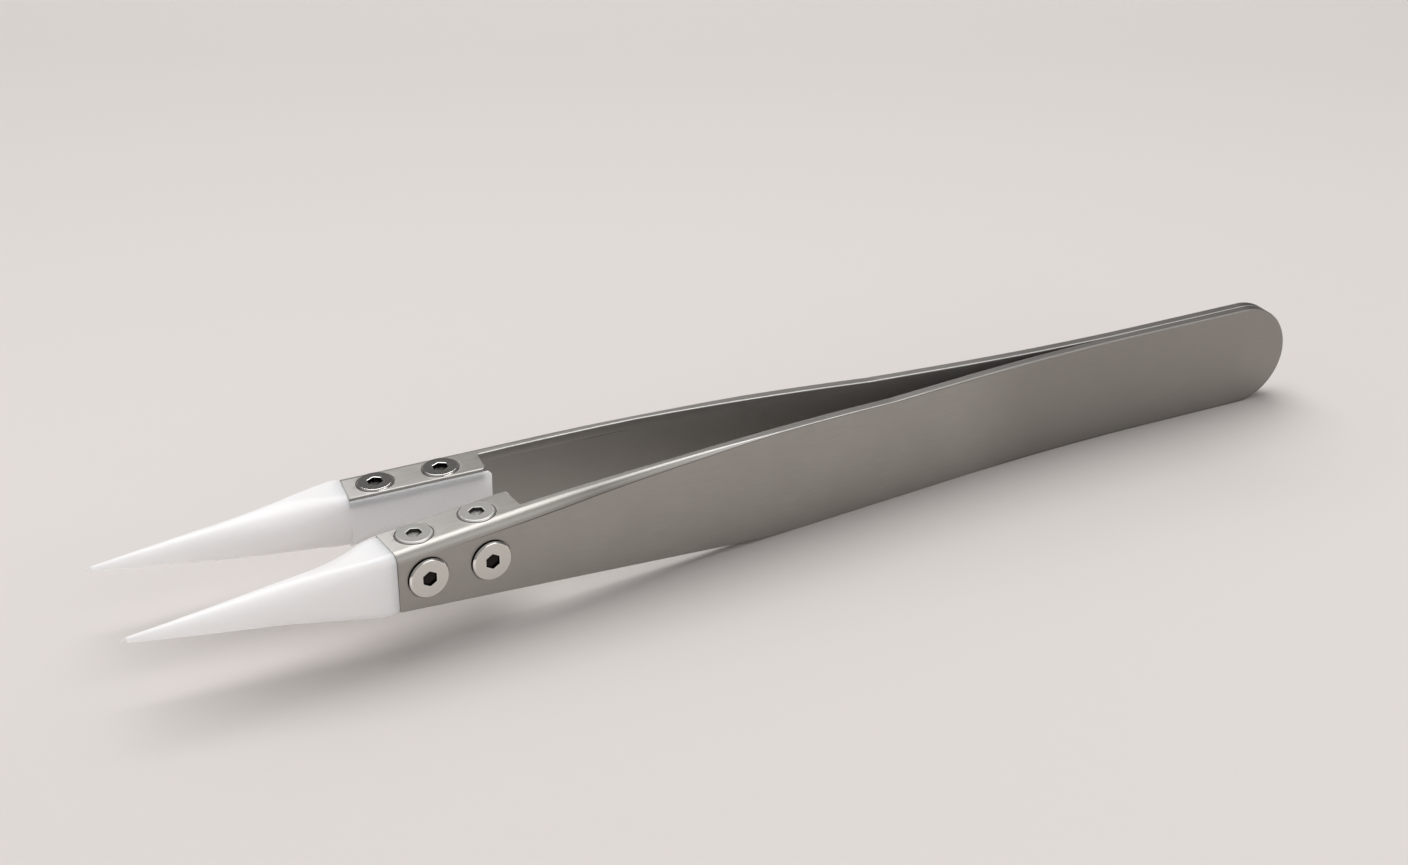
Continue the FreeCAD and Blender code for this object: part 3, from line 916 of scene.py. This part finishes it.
# Near top screws: a rougher copy of the screw steel, painted darker, with half the painted shade in their
# recesses
satin_darkened_steel = turned_steel("Satin screw steel", 0.55, (0.4, 0.48), 0.5)
ceramic = white_ceramic(streaks)
for side in ("left", "right"):
    make_arm(side, sheet_steel)
    make_tip(side, ceramic)
    for name, (seat, direction) in screw_axes().items():
        satin = side == "left" and name.startswith("top")
        make_screw(side, name, seat, direction, satin_darkened_steel if satin else screw_steel)


# Floor, light and camera, in metres

floor_reach = 6.0
floor_spacing = 0.02
floor_lines = 161

# Painted shade and painted shadow on the floor: how much, and from where to where. The far part is pale for
# the camera
away_from_camera = (0.44, 0.898)
away_distance = 0.14
away_painted_shade = 0.162
broad_painted_shadow = 0.05
close_painted_shadow = 0.17
far_start = 0.35
far_length = 0.6

# Side of every lamp, and the direction from which the surroundings are brightest
lamp_size = 0.6
brightest_side = (-0.264, -0.539, 1.0)


def hollow(x, y, length, width):
    """Soft patch of painted shadow, of depth one: the bell curve of x over a length and y over a width."""
    return np.exp(-(x / length) ** 2 - (y / width) ** 2)


def floor():
    """Square flat floor under the object, with painted shade away from the camera and painted shadow close
    to the object.

    The grid's lines stand at the hyperbolic sine of even steps, so they are close together in the middle.
    The shade is one, less a slow fall of painted shade away from the camera, less two soft patches of
    painted shadow along the object. The far attribute rises smoothly from zero to one over the far length,
    and the shade goes out with it.
    """
    steps = np.linspace(-1, 1, floor_lines) * math.asinh(floor_reach / floor_spacing)
    lines = floor_spacing * np.sinh(steps)
    x, y = np.meshgrid(lines, lines, indexing="ij")
    # Painted shade away from the camera, and painted shadow broad and close round the object
    away = np.clip((away_from_camera[0] * x + away_from_camera[1] * y) / away_distance, 0, 1)
    broad = hollow(x - 0.02, y + 0.01, 0.09, 0.045)
    close = hollow(np.maximum(np.abs(x) - 0.045, 0), y + 0.007, 0.015, 0.012)
    far = smooth_step(np.clip((np.hypot(x, y) - far_start) / far_length, 0, 1))
    shade = (1 - away_painted_shade * away - broad_painted_shadow * broad - close_painted_shadow * close) * (1 - far)
    points = np.stack([x, y, np.zeros_like(x)], axis=-1).reshape(-1, 3)
    i, j = np.meshgrid(np.arange(floor_lines - 1), np.arange(floor_lines - 1), indexing="ij")
    first = (i * floor_lines + j).ravel()
    faces = np.stack([first, first + floor_lines, first + floor_lines + 1, first + 1], axis=-1)
    mesh = bpy.data.meshes.new("floor")
    mesh.from_pydata(points, [], faces.tolist())
    for name, values in (("shade", shade), ("far", far)):
        mesh.attributes.new(name, "FLOAT", "POINT").data.foreach_set("value", values.ravel())
    mesh.materials.append(pale_floor())
    made = bpy.data.objects.new("floor", mesh)
    bpy.context.scene.collection.objects.link(made)


def soft_lamp(name, place, power):
    """Square lamp at a place, facing the middle of the object."""
    light = bpy.data.lights.new(name, "AREA")
    light.shape = "RECTANGLE"
    light.size = lamp_size
    light.size_y = lamp_size
    light.energy = power
    lamp = bpy.data.objects.new(name, light)
    lamp.location = place
    lamp.rotation_mode = "QUATERNION"
    lamp.rotation_quaternion = (-Vector(place)).to_track_quat("-Z", "Y")
    bpy.context.scene.collection.objects.link(lamp)


def surroundings():
    """Soft surroundings that light the object most from above the camera's side and least from behind and
    below. The camera itself sees them as the floor's own colour."""
    world = bpy.data.worlds.new("Pale room")
    bpy.context.scene.world = world
    world.use_nodes = True
    world.node_tree.nodes.clear()
    g = Graph(world.node_tree)
    rise = g.node("VectorMath", operation="DOT_PRODUCT")
    rise.inputs[1].default_value = brightest_side
    g.join(g.node("TexCoord"), "Generated", rise, 0)
    power = g.carry(rise, "Value", (0.1, 1.0), (0.12, 0.28), interpolation_type="SMOOTHSTEP")
    room = g.node("Background", Color=(1.0, 0.985, 0.97, 1))
    g.join(power, 0, room, "Strength")
    seen = g.node("Background", Color=(*room_colour, 1), Strength=1.0)
    mix = g.node("MixShader")
    g.join(g.node("LightPath"), "Is Camera Ray", mix, 0)
    g.join(room, 0, mix, 1)
    g.join(seen, 0, mix, 2)
    g.join(mix, 0, g.node("OutputWorld"), "Surface")


floor()
surroundings()
soft_lamp("overhead", (0.05, 0.22, 0.6), 3.8)
soft_lamp("camera_side", (0.28, -0.54, 0.34), 1.15)

picture_width = 1408
lens_pixels = 2341.7
sensor_width = 36.0
azimuth = math.radians(-26.13)
elevation = math.radians(27.95)
camera_target = Vector((-0.00124, 0.00882, 0.0055))
camera_distance = 0.2362
looking = Vector((
    -math.sin(azimuth) * math.cos(elevation),
    math.cos(azimuth) * math.cos(elevation),
    -math.sin(elevation),
))
camera_data = bpy.data.cameras.new("camera")
camera_data.sensor_width = sensor_width
camera_data.lens = lens_pixels * sensor_width / picture_width
camera_data.clip_start = 0.005
camera_data.clip_end = 50
camera = bpy.data.objects.new("camera", camera_data)
camera.location = camera_target - looking * camera_distance
camera.rotation_mode = "QUATERNION"
camera.rotation_quaternion = looking.to_track_quat("-Z", "Y")
bpy.context.scene.collection.objects.link(camera)
bpy.context.scene.camera = camera
bpy.context.scene.view_settings.view_transform = "Standard"
